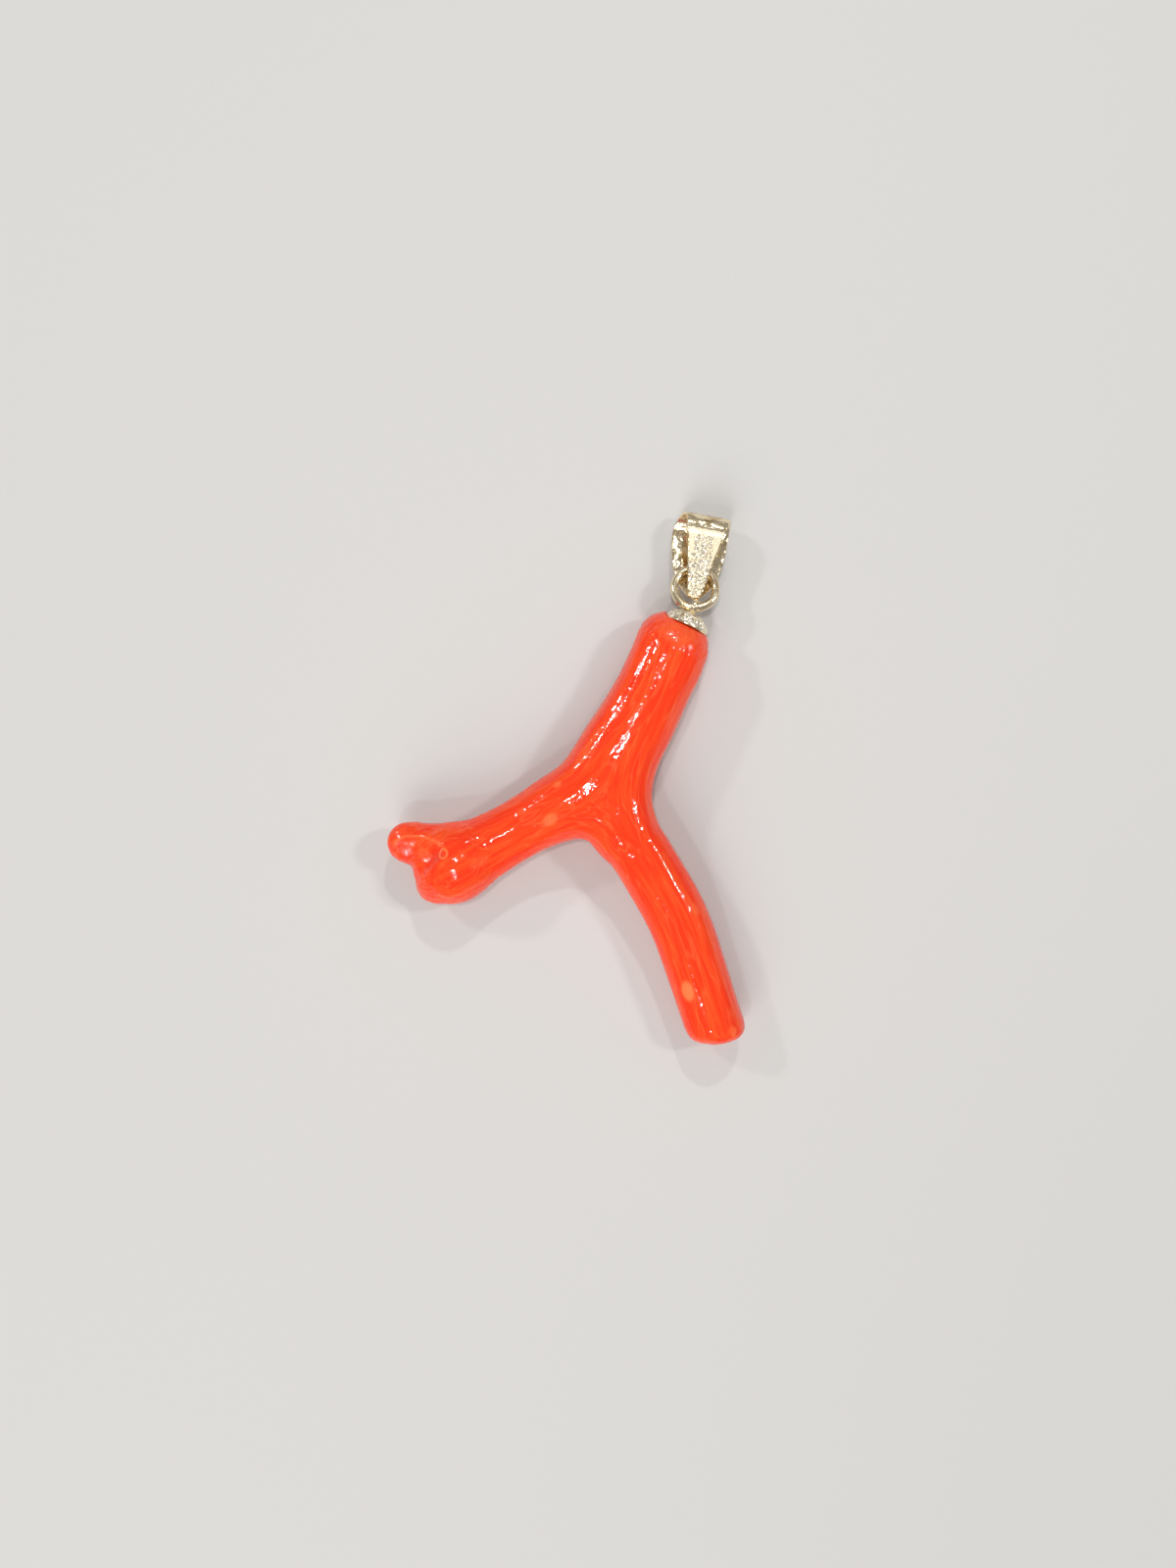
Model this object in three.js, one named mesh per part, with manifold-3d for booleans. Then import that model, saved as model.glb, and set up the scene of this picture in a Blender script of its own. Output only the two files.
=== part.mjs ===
// A red coral branch pendant, lying face up on z = 0.
//
// A polished coral branch forks once, into a left arm that ends in two nubs and a plain right arm.
// A gold bell cap is glued over the end of the trunk. A jump ring runs through the eye of the cap,
// and a bail, one folded strip, hangs on the ring. All lengths are millimetres, +Z is up and +Y
// runs along the pendant towards the bail.
import * as THREE from 'three';
import { mergeVertices } from 'three/addons/utils/BufferGeometryUtils.js';
import Module from 'manifold-3d';

const wasm = await Module();
wasm.setup();

// Coral. A station on a limb is [x, y, half its width, room under it].
const HEIGHT_TO_WIDTH = 0.88;
const TRUNK = [
  [11.3, 19.2, 3.6, 0.1],
  [10.65, 13.4, 3.78, -0.05],
  [9.05, 9.7, 3.72, 0.1],
];
const TRUNK_TO_LEFT_ARM = [
  ...TRUNK,
  [7.1, 6.3, 3.7, 0.3],
  [5.1, 3.6, 3.55, 0.4],
  [2.0, -0.7, 3.4, 0.5],
  [-1.9, -3.35, 3.2, 0.6],
  [-5.8, -5.65, 3.1, 0.6],
  [-9.0, -7.4, 3.4, 0.3],
  [-11.2, -8.6, 3.85, -0.05],
];
const TRUNK_TO_RIGHT_ARM = [
  ...TRUNK,
  [7.6, 6.3, 3.7, 0.3],
  [5.9, 2.2, 3.5, 0.4],
  [5.3, -1.5, 3.35, 0.5],
  [6.0, -5.1, 3.2, 0.6],
  [8.0, -8.4, 3.15, 0.55],
  [11.25, -14.1, 3.15, 0.3],
  [13.45, -20.2, 3.05, 0.15],
  [14.95, -24.8, 3.0, -0.05],
  [16.7, -30.4, 3.2, 0.0],
];
const WEB_BETWEEN_ARMS = [
  [-3.9, -4.5, 3.1, 0.7],
  [-1.3, -3.2, 3.2, 0.6],
  [1.2, -2.8, 3.2, 0.6],
  [3.9, -3.6, 3.1, 0.7],
  [6.0, -5.8, 3.1, 0.6],
];
const UPPER_NUB = [
  [-10.2, -7.6, 3.3, 0.6],
  [-13.4, -7.1, 2.6, 1.0],
  [-16.2, -6.5, 2.1, 1.3],
];
const LOWER_NUB = [
  [-10.0, -8.5, 3.3, 0.4],
  [-11.3, -10.0, 2.75, 0.7],
  [-13.1, -10.45, 2.35, 1.0],
];
const SADDLE_BETWEEN_NUBS = [
  [-9.6, -8.0, 2.9, 0.5],
  [-11.4, -8.3, 2.5, 0.8],
  [-13.1, -8.6, 2.15, 1.0],
];
const LIMBS = [
  TRUNK_TO_LEFT_ARM,
  TRUNK_TO_RIGHT_ARM,
  WEB_BETWEEN_ARMS,
  UPPER_NUB,
  LOWER_NUB,
  SADDLE_BETWEEN_NUBS,
];

// Limbs run into each other softly near the places [x, y, reach, softness].
const SOFT_JOINS = [
  [3.5, -1.7, 9.0, 1.7],
  [-12.5, -8.4, 6.0, 1.3],
];

// Ends that are ground across: a point on the end, the way that the end looks as a lean from +Y
// and a rise over the level, and its rounding.
const TRUNK_END = { point: [9.65, 17.2, 3.7], lean: 10, rise: 15, rounding: 3.8 };
const RIGHT_END = { point: [15.4, -26.95, 3.1], lean: 172, rise: 0, rounding: 2.2 };

// The fork: where the three nodes of the branch meet, and the way to each hollow between them.
const FORK = [3.55, -1.65];
const HOLLOW_RIGHT = 1;
const HOLLOW_LEFT = 139;
const CROTCH = 244;
const NODE_GAP = 0.2;

// Lines down the middle of the nodes, outwards from the fork, that the skin is cast from.
const MID_HEIGHT = 3.3;
const TRUNK_MIDDLE = [FORK, [6.2, 3.7], [8.1, 7.6], [9.7, 11.3], [10.5, 13.4]];
const LEFT_MIDDLE = [FORK, [-1.4, -3.1], [-5.8, -5.6], [-9.6, -7.7], [-12.6, -8.3]];
const RIGHT_MIDDLE = [FORK, [5.9, -5.4], [8.0, -8.4], [11.2, -14.1], [13.4, -20.2], [14.5, -23.6]];

// Bell cap, measured along its axis from the rim, and the eye on its top.
const CAP_RIM = [12.0, 15.4, 3.35];
const CAP_LEAN = 24.9;
const CAP_RADIUS = 2.28;
const CAP_HEIGHT = 1.55;
const CAP_WALL = 0.3;
const CAP_SEAT_GAP = 0.12;
const EYE_HEIGHT = 2.15;
const EYE_HOLE_RADIUS = 0.6;
const EYE_WIRE = 0.38;
const EYE_BREADTH = 0.7;

// Jump ring.
const RING_RADIUS = 2.12;
const WIRE_RADIUS = 0.42;
const RING_LEAN = 4.9;
const RING_DROP = 12.5;

// Bail. Lengths run from the wire that it hangs on, inwards to the tip and outwards to the fold.
// The fold turns until its end in degrees, and from there the back leaf runs low to where it climbs.
const BAIL_LEAN = 10.9;
const BAIL_SHEET = 0.35;
const FOLD_RADIUS = 1.78;
const WIRE_TO_FOLD_CENTRE = 3.95;
const WIRE_TO_TIP = 3.1;
const TIP_HEIGHT = 3.45;
const TIP_WIDTH = 0.9;
const FRONT_WIDTH = 4.1;
const FOLD_WIDTH = 4.6;
const BACK_WIDTH = 5.85;
const BACK_SHIFT = -0.35;
const BACK_CLIMB_FROM = -0.75;
const FOLD_END = 257;

const SIDES_OF_A_LIMB = 32;
const UP = new THREE.Vector3(0, 0, 1);

const CORAL = { color: 0xf2481c, roughness: 0.18, metalness: 0 };
const GOLD = { color: 0xf3dca0, roughness: 0.2, metalness: 1 };

function radians(degrees) {
  return THREE.MathUtils.degToRad(degrees);
}

// The level direction that leans this many degrees clockwise from +Y.
function leaning(degrees) {
  return new THREE.Vector3(Math.sin(radians(degrees)), Math.cos(radians(degrees)), 0);
}

function named(name, geometry, finish) {
  const mesh = new THREE.Mesh(geometry, new THREE.MeshStandardMaterial(finish));
  mesh.name = name;
  return mesh;
}

function toSolid(geometry) {
  const bare = geometry.clone();
  bare.deleteAttribute('normal');
  bare.deleteAttribute('uv');
  const merged = mergeVertices(bare, 1e-5);
  return new wasm.Manifold(new wasm.Mesh({
    numProp: 3,
    vertProperties: new Float32Array(merged.attributes.position.array),
    triVerts: new Uint32Array(merged.index.array),
  }));
}

function toGeometry(solid) {
  const mesh = solid.getMesh();
  const geometry = new THREE.BufferGeometry();
  geometry.setAttribute('position', new THREE.BufferAttribute(mesh.vertProperties, 3));
  geometry.setIndex(new THREE.BufferAttribute(mesh.triVerts, 1));
  geometry.computeVertexNormals();
  return geometry;
}

// Short straight pieces of a limb, each with its ends and the half widths there. Heights are
// stretched by the flattening, so that a limb is round here and oval in the part.
function limbPieces(stations) {
  const middle = new THREE.CatmullRomCurve3(
    stations.map(([x, y, half, room]) => new THREE.Vector3(x, y, half + room)),
  );
  const width = new THREE.CatmullRomCurve3(
    stations.map(([, , half]) => new THREE.Vector3(half, 0, 0)),
    false,
    'catmullrom',
  );
  const count = (stations.length - 1) * 4;
  const pieces = [];
  for (let i = 0; i < count; i++) {
    const start = middle.getPoint(i / count);
    const along = middle.getPoint((i + 1) / count).sub(start);
    const half = width.getPoint(i / count).x;
    pieces.push({ start, along, half, growth: width.getPoint((i + 1) / count).x - half });
  }
  return pieces;
}

const limbs = LIMBS.map(limbPieces);

function distanceToLimb(point, pieces) {
  let nearest = Infinity;
  for (const { start, along, half, growth } of pieces) {
    const x = point.x - start.x;
    const y = point.y - start.y;
    const z = point.z - start.z;
    const dot = (x * along.x + y * along.y + z * along.z) / along.lengthSq();
    const t = Math.min(1, Math.max(0, dot));
    const away = Math.hypot(x - t * along.x, y - t * along.y, z - t * along.z);
    nearest = Math.min(nearest, away - half - t * growth);
  }
  return nearest;
}

// The lesser of two distances, rounded off where they are alike.
function softMin(a, b, softness) {
  const overlap = Math.max(softness - Math.abs(a - b), 0) / softness;
  return Math.min(a, b) - (overlap * overlap * softness) / 4;
}

function softnessAt(point) {
  let most = 0.01;
  for (const [x, y, reach, softness] of SOFT_JOINS) {
    const near = 1 - Math.hypot(point.x - x, point.y - y) / reach;
    most = Math.max(most, softness * THREE.MathUtils.smoothstep(near, 0, 0.6));
  }
  return most;
}

function pastEnd(place, { point, lean, rise }) {
  const out = leaning(lean).multiplyScalar(Math.cos(radians(rise)));
  out.z = Math.sin(radians(rise));
  return place.clone().sub(new THREE.Vector3(...point)).dot(out);
}

// Below zero inside the coral, above zero outside.
function coralField(place) {
  const point = new THREE.Vector3(place.x, place.y, place.z / HEIGHT_TO_WIDTH);
  const softness = softnessAt(point);
  let field = distanceToLimb(point, limbs[0]);
  for (const pieces of limbs.slice(1)) {
    field = softMin(field, distanceToLimb(point, pieces), softness);
  }
  for (const end of [TRUNK_END, RIGHT_END]) {
    field = -softMin(-field, -pastEnd(point, end), end.rounding);
  }
  return Math.max(field, -place.z);
}

// How far the skin is from a point inside the coral, one way.
function reachToSkin(from, way) {
  const FARTHEST = 6.6;
  const STEP = 0.3;
  const at = (length) => coralField(from.clone().addScaledVector(way, length));
  let outer = STEP;
  while (outer < FARTHEST && at(outer) < 0) {
    outer += STEP;
  }
  let inner = outer - STEP;
  for (let i = 0; i < 14; i++) {
    const half = (inner + outer) / 2;
    if (at(half) < 0) {
      inner = half;
    } else {
      outer = half;
    }
  }
  return inner;
}

// One limb's skin: a sphere's rows are slid along the limb's middle line, from a flat start in the
// fork to a rounded end, and each vertex is cast out to the skin.
function limbSkin(middlePoints, rowsAlong, rowsRoundEnd) {
  const middle = new THREE.CatmullRomCurve3(
    middlePoints.map(([x, y]) => new THREE.Vector3(x, y, MID_HEIGHT)),
  );
  const rows = rowsAlong + rowsRoundEnd;
  const skin = new THREE.SphereGeometry(1, SIDES_OF_A_LIMB, rows + 1);
  const spots = skin.attributes.position;
  for (let i = 0; i < spots.count; i++) {
    const row = Math.floor(i / (SIDES_OF_A_LIMB + 1));
    const turn = ((i % (SIDES_OF_A_LIMB + 1)) / SIDES_OF_A_LIMB) * 2 * Math.PI;
    const along = row > rowsRoundEnd ? 1 - (row - rowsRoundEnd - 1) / (rowsAlong - 1) : 1;
    const centre = middle.getPointAt(Math.max(along, 0));
    if (row <= rows) {
      const ahead = middle.getTangentAt(Math.max(along, 0));
      const side = new THREE.Vector3().crossVectors(UP, ahead).normalize();
      const tip = (Math.min(row, rowsRoundEnd) / rowsRoundEnd) * (Math.PI / 2);
      const way = ahead.clone().multiplyScalar(Math.cos(tip));
      way.addScaledVector(side, Math.sin(tip) * Math.cos(turn));
      way.addScaledVector(UP, Math.sin(tip) * Math.sin(turn));
      centre.addScaledVector(way, reachToSkin(centre, way));
    }
    spots.setXYZ(i, centre.x, centre.y, centre.z);
  }
  return toSolid(skin);
}

// An upright wedge between two directions from the fork, drawn in by half the gap between nodes.
function forkWedge(fromDegrees, toDegrees) {
  const LONG = 90;
  const TALL = 20;
  const middle = radians((fromDegrees + toDegrees) / 2);
  const half = radians((toDegrees - fromDegrees) / 2);
  const from = (start, length, angle) => new THREE.Vector2(
    start.x + length * Math.cos(angle),
    start.y + length * Math.sin(angle),
  );
  const apex = from(new THREE.Vector2(...FORK), NODE_GAP / 2 / Math.sin(half), middle);
  const outline = new THREE.Shape([
    apex,
    from(apex, LONG, middle - half),
    from(apex, LONG, middle + half),
  ]);
  const wedge = new THREE.ExtrudeGeometry(outline, { depth: TALL, bevelEnabled: false });
  return toSolid(wedge.translate(0, 0, -TALL / 4));
}

// The place of the cap: its axis lies along the local +Y.
function capPlace() {
  const place = new THREE.Group();
  place.position.set(...CAP_RIM);
  place.rotation.z = -radians(CAP_LEAN);
  place.updateMatrix();
  return place;
}

// The room that the cap takes up, with a little air, cut out of the trunk's end. It is open below,
// so that no thin lip of coral is left under the cap.
function capSeat() {
  const TALL = 6;
  const radius = CAP_RADIUS + CAP_SEAT_GAP;
  const outline = [
    [0, -CAP_SEAT_GAP],
    [radius, -CAP_SEAT_GAP],
    [radius, TALL],
    [0, TALL],
  ].map(([r, h]) => new THREE.Vector2(r, h));
  const round = toSolid(new THREE.LatheGeometry(outline, 48));
  const slot = new THREE.BoxGeometry(2 * radius, TALL + CAP_SEAT_GAP, TALL)
    .translate(0, (TALL - CAP_SEAT_GAP) / 2, -TALL / 2);
  return round.add(toSolid(slot)).transform(capPlace().matrix.elements);
}

function coralTrunk() {
  const skin = limbSkin(TRUNK_MIDDLE, 20, 10);
  return toGeometry(skin.intersect(forkWedge(HOLLOW_RIGHT, HOLLOW_LEFT)).subtract(capSeat()));
}

function coralLeftArm() {
  return toGeometry(limbSkin(LEFT_MIDDLE, 21, 13).intersect(forkWedge(HOLLOW_LEFT, CROTCH)));
}

function coralRightArm() {
  return toGeometry(limbSkin(RIGHT_MIDDLE, 27, 9).intersect(forkWedge(CROTCH, 360 + HOLLOW_RIGHT)));
}

// Half of a dome's outline, from the rim at its full radius to the top on the axis.
function domeOutline(radius, height, steps) {
  const points = [];
  for (let i = 0; i <= steps; i++) {
    const angle = (i / steps) * (Math.PI / 2);
    const r = i === steps ? 0 : radius * Math.cos(angle) ** 0.8;
    points.push(new THREE.Vector2(r, height * Math.sin(angle)));
  }
  return points;
}

// A thin domed cup, open below, with the eye standing on its top.
function bellCap() {
  const outside = domeOutline(CAP_RADIUS, CAP_HEIGHT, 8);
  const inside = domeOutline(CAP_RADIUS - CAP_WALL, CAP_HEIGHT - CAP_WALL, 5).reverse();
  const cup = toSolid(new THREE.LatheGeometry([...inside, ...outside], 32));
  const middleRadius = EYE_HOLE_RADIUS + EYE_WIRE / 2;
  const loop = new THREE.TorusGeometry(middleRadius, EYE_WIRE / 2, 10, 22)
    .scale(1, 1, EYE_BREADTH / EYE_WIRE)
    .rotateY(Math.PI / 2)
    .translate(0, EYE_HEIGHT, 0);
  return toGeometry(cup.add(toSolid(loop)));
}

// The ring's own frame: its origin is in the eye, +Y runs to the ring's centre.
function ringPlace() {
  const place = new THREE.Group();
  place.position.copy(leaning(CAP_LEAN).multiplyScalar(EYE_HEIGHT)).add(new THREE.Vector3(...CAP_RIM));
  place.rotation.set(-radians(RING_DROP), 0, -radians(RING_LEAN), 'ZXY');
  place.updateMatrix();
  return place;
}

function jumpRing() {
  return new THREE.TorusGeometry(RING_RADIUS, WIRE_RADIUS, 12, 44).translate(0, RING_RADIUS, 0);
}

// Where the bail hangs: the point on the ring's wire on the bail's own line.
function wireUnderBail() {
  const turn = radians(BAIL_LEAN - RING_LEAN);
  const spot = new THREE.Vector3(Math.sin(turn), 1 + Math.cos(turn), 0).multiplyScalar(RING_RADIUS);
  return spot.applyMatrix4(ringPlace().matrix);
}

// The strip seen from its side, from the tip along the front leaf, round the fold and back along
// the bulged back leaf. x runs from the wire to the fold, y is height over the table.
function bailSide() {
  const bend = FOLD_RADIUS - BAIL_SHEET / 2;
  const tip = new THREE.Vector2(-WIRE_TO_TIP, TIP_HEIGHT);
  const centre = new THREE.Vector2(WIRE_TO_FOLD_CENTRE, FOLD_RADIUS);
  const toTip = tip.clone().sub(centre);
  const top = toTip.angle() - Math.acos(bend / toTip.length());
  const bottom = radians(FOLD_END);
  const onBend = (angle) => new THREE.Vector2(Math.cos(angle), Math.sin(angle))
    .multiplyScalar(bend).add(centre);
  const underside = onBend(bottom);
  const reach = underside.x - BACK_CLIMB_FROM;
  const hollow = new THREE.Vector2(BACK_CLIMB_FROM, underside.y + reach / Math.tan(bottom));
  const side = new THREE.CurvePath();
  side.add(new THREE.LineCurve(tip, onBend(top)));
  side.add(new THREE.EllipseCurve(centre.x, centre.y, bend, bend, top, bottom, true));
  side.add(new THREE.QuadraticBezierCurve(underside, hollow, tip));
  return side;
}

// Half width and sideways shift of the strip, where t runs along each of its three stretches.
function bailWidth(stretch, t) {
  if (stretch === 0) {
    return [THREE.MathUtils.lerp(TIP_WIDTH, FRONT_WIDTH, t) / 2, 0];
  }
  if (stretch === 1) {
    const spread = THREE.MathUtils.smoothstep(t, 0.2, 1);
    const width = THREE.MathUtils.lerp(FRONT_WIDTH, FOLD_WIDTH, Math.min(1, 2 * t));
    return [THREE.MathUtils.lerp(width, BACK_WIDTH, spread) / 2, BACK_SHIFT * spread];
  }
  const taper = Math.cos(t * Math.PI / 2) ** 0.75;
  return [(TIP_WIDTH + (BACK_WIDTH - TIP_WIDTH) * taper) / 2, BACK_SHIFT * (1 - t)];
}

// A flat bar bent along some of the side view's stretches, whose width follows the leaves.
function bentBar(side, stretches) {
  const STEPS = 18;
  const bar = new THREE.BoxGeometry(1, 1, 1, STEPS * stretches.length, 4, 1);
  const spots = bar.attributes.position;
  for (let i = 0; i < spots.count; i++) {
    const along = (spots.getX(i) + 0.5) * stretches.length;
    const place = Math.min(Math.floor(along + 1e-6), stretches.length - 1);
    const t = Math.round((along - place) * STEPS) / STEPS;
    const centre = side[stretches[place]].getPoint(t);
    const ahead = side[stretches[place]].getTangent(t);
    const [half, shift] = bailWidth(stretches[place], t);
    const out = spots.getZ(i) * BAIL_SHEET;
    const across = shift + spots.getY(i) * 2 * half;
    spots.setXYZ(i, across, centre.x + ahead.y * out, centre.y - ahead.x * out);
  }
  return toSolid(bar);
}

// Both bars take in the fold, so that they are one body there as well as in the tip.
function bail() {
  const side = bailSide().curves;
  return toGeometry(bentBar(side, [0, 1]).add(bentBar(side, [1, 2])));
}

const pendant = new THREE.Group();
pendant.add(named('coral_trunk', coralTrunk(), CORAL));
pendant.add(named('coral_left_arm', coralLeftArm(), CORAL));
pendant.add(named('coral_right_arm', coralRightArm(), CORAL));

const onTrunk = capPlace();
onTrunk.add(named('bell_cap', bellCap(), GOLD));
pendant.add(onTrunk);

const inEye = ringPlace();
inEye.add(named('jump_ring', jumpRing(), GOLD));
pendant.add(inEye);

const onWire = new THREE.Group();
onWire.position.set(wireUnderBail().x, wireUnderBail().y, 0);
onWire.rotation.z = -radians(BAIL_LEAN);
onWire.add(named('bail', bail(), GOLD));
pendant.add(onWire);

export default pendant;
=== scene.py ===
"""The looks of a red coral branch pendant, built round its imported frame.

Lengths in this file are millimetres until a mesh is made, and metres in Blender. The part lies face
up on z = 0, and +Y runs along the pendant towards its bail.
"""

import logging
import math
from dataclasses import dataclass, field
from enum import Enum
from math import radians

import bmesh
import bpy
import numpy as np
from mathutils import Matrix, Vector, noise

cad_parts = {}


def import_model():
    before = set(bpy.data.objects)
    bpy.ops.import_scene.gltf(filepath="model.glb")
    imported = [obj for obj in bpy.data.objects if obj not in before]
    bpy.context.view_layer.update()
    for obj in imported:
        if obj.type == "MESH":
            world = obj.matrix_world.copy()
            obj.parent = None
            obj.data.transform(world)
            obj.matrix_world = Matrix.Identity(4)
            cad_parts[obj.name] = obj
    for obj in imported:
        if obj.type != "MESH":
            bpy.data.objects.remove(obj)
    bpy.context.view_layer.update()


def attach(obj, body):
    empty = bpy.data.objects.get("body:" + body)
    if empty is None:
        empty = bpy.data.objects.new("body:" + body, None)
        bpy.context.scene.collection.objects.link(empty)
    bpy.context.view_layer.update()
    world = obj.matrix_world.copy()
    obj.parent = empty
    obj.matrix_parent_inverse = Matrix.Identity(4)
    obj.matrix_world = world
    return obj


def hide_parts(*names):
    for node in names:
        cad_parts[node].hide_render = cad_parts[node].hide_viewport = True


MM = 0.001

# The middle of the cap's rim, and how far the cap's axis leans from +Y.
CAP_RIM = (12.0, 15.4, 3.35)
CAP_LEAN = 24.9

Point2 = tuple[float, float]
Point3 = tuple[float, float, float]
Station = tuple[float, float, float, float]
Colour = tuple[float, float, float, float]

logging.basicConfig(level=logging.INFO, format="%(message)s")
log = logging.getLogger("pendant")


class Body(Enum):
    """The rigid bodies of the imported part."""

    BRANCH = "branch"
    RING = "ring"
    BAIL = "bail"


class Slot(Enum):
    """The material slots of the record."""

    CORAL = "coral"
    GOLD = "gold"


def leaning(degrees: float) -> np.ndarray:
    """The level direction that leans this many degrees clockwise from +Y."""
    return np.array([math.sin(radians(degrees)), math.cos(radians(degrees)), 0.0])


def smoothstep(value: np.ndarray | float, low: float, high: float) -> np.ndarray | float:
    """A smooth rise from 0 at low to 1 at high."""
    t = np.clip((value - low) / (high - low), 0, 1)
    return t * t * (3 - 2 * t)


def catmull_rom(stops: np.ndarray, per_span: int, centripetal: bool = True) -> np.ndarray:
    """Points on a Catmull-Rom curve.

    Args:
        stops: the points that the curve passes through, one a row.
        per_span: how many steps each span gets.
        centripetal: whether the knots are spaced by the root of the distance.

    Returns:
        The points, one a row, from the first stop to the last.
    """
    ends = np.vstack([2 * stops[0] - stops[1], stops, 2 * stops[-1] - stops[-2]])
    points = []
    for i in range(len(stops) - 1):
        a, b, c, d = ends[i : i + 4]
        spans = ((a, b), (b, c), (c, d))
        before, span, after = [math.sqrt(np.linalg.norm(q - p)) if centripetal else 1.0 for p, q in spans]
        start = ((b - a) / before - (c - a) / (before + span) + (c - b) / span) * span
        finish = ((c - b) / span - (d - b) / (span + after) + (d - c) / after) * span
        for t in np.arange(per_span) / per_span:
            points.append(
                b + start * t + (3 * (c - b) - 2 * start - finish) * t**2
                + (2 * (b - c) + start + finish) * t**3
            )
    points.append(stops[-1])
    return np.array(points)


def solid_piece(
    name: str,
    vertices: np.ndarray,
    faces: list[tuple[int, ...]] | np.ndarray,
    material: bpy.types.Material,
) -> bpy.types.Object:
    """A smooth-shaded mesh object in the part's frame.

    Args:
        name: the object's name.
        vertices: places in millimetres, one a row.
        faces: the vertex numbers of each face.
        material: the finish of all its faces.

    Returns:
        The object, with its place in its mesh.
    """
    mesh = bpy.data.meshes.new(name)
    mesh.from_pydata((vertices * MM).tolist(), [], [tuple(int(n) for n in face) for face in faces])
    mesh.validate()
    mesh.shade_smooth()
    mesh.materials.append(material)
    piece = bpy.data.objects.new(name, mesh)
    bpy.context.scene.collection.objects.link(piece)
    return piece


class Tree:
    """A short way to write down a node tree."""

    def __init__(self, tree: bpy.types.NodeTree) -> None:
        """Takes the tree to write in, emptied."""
        self.tree = tree
        self.tree.nodes.clear()

    def add(self, kind: str, settings: dict | None = None, **inputs: object) -> bpy.types.Node:
        """Adds a node.

        Args:
            kind: the node's type name.
            settings: properties of the node, by name.
            inputs: values or sockets for the inputs, with _ for a space in the input's name.

        Returns:
            The node.
        """
        node = self.tree.nodes.new(kind)
        for name, value in (settings or {}).items():
            setattr(node, name, value)
        for name, value in inputs.items():
            self.put(node, name.replace("_", " "), value)
        return node

    def put(self, node: bpy.types.Node, name: str | int, value: object) -> None:
        """Sets an input of a node, by name or number, to a value or links it to a socket."""
        socket = node.inputs[name]
        if isinstance(value, bpy.types.NodeSocket):
            self.tree.links.new(value, socket)
        else:
            socket.default_value = value

    def math(self, operation: str, *values: object) -> bpy.types.NodeSocket:
        """The result of a Math node on these values or sockets."""
        node = self.add("ShaderNodeMath", {"operation": operation})
        for i, value in enumerate(values):
            self.put(node, i, value)
        return node.outputs[0]

    def blend(self, share: object, low: object, high: object) -> bpy.types.NodeSocket:
        """A colour between low and high."""
        node = self.add("ShaderNodeMix", {"data_type": "RGBA"})
        self.put(node, 0, share)
        self.put(node, 6, low)
        self.put(node, 7, high)
        return node.outputs[2]

    def place(self) -> bpy.types.NodeSocket:
        """The place on the piece, in metres."""
        return self.add("ShaderNodeTexCoord").outputs["Object"]

    def stored(self, name: str, output: str = "Fac") -> bpy.types.NodeSocket:
        """What the mesh keeps for each vertex under a name, as a number or as a Vector."""
        return self.add("ShaderNodeAttribute", {"attribute_name": name}).outputs[output]

    def noise(self, place: bpy.types.NodeSocket, scale: float, detail: float) -> bpy.types.NodeSocket:
        """Smooth noise over a place, with this many waves to its unit and this many octaves."""
        return self.add("ShaderNodeTexNoise", Vector=place, Scale=scale, Detail=detail).outputs["Fac"]

    def ramp(self, value: object, low: float, high: float, top: float = 1.0) -> bpy.types.NodeSocket:
        """A clamped smooth rise from 0 at low to top at high."""
        node = self.add("ShaderNodeMapRange", {"interpolation_type": "SMOOTHSTEP"})
        for i, number in enumerate((value, low, high, 0.0, top)):
            self.put(node, i, number)
        return node.outputs[0]


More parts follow.
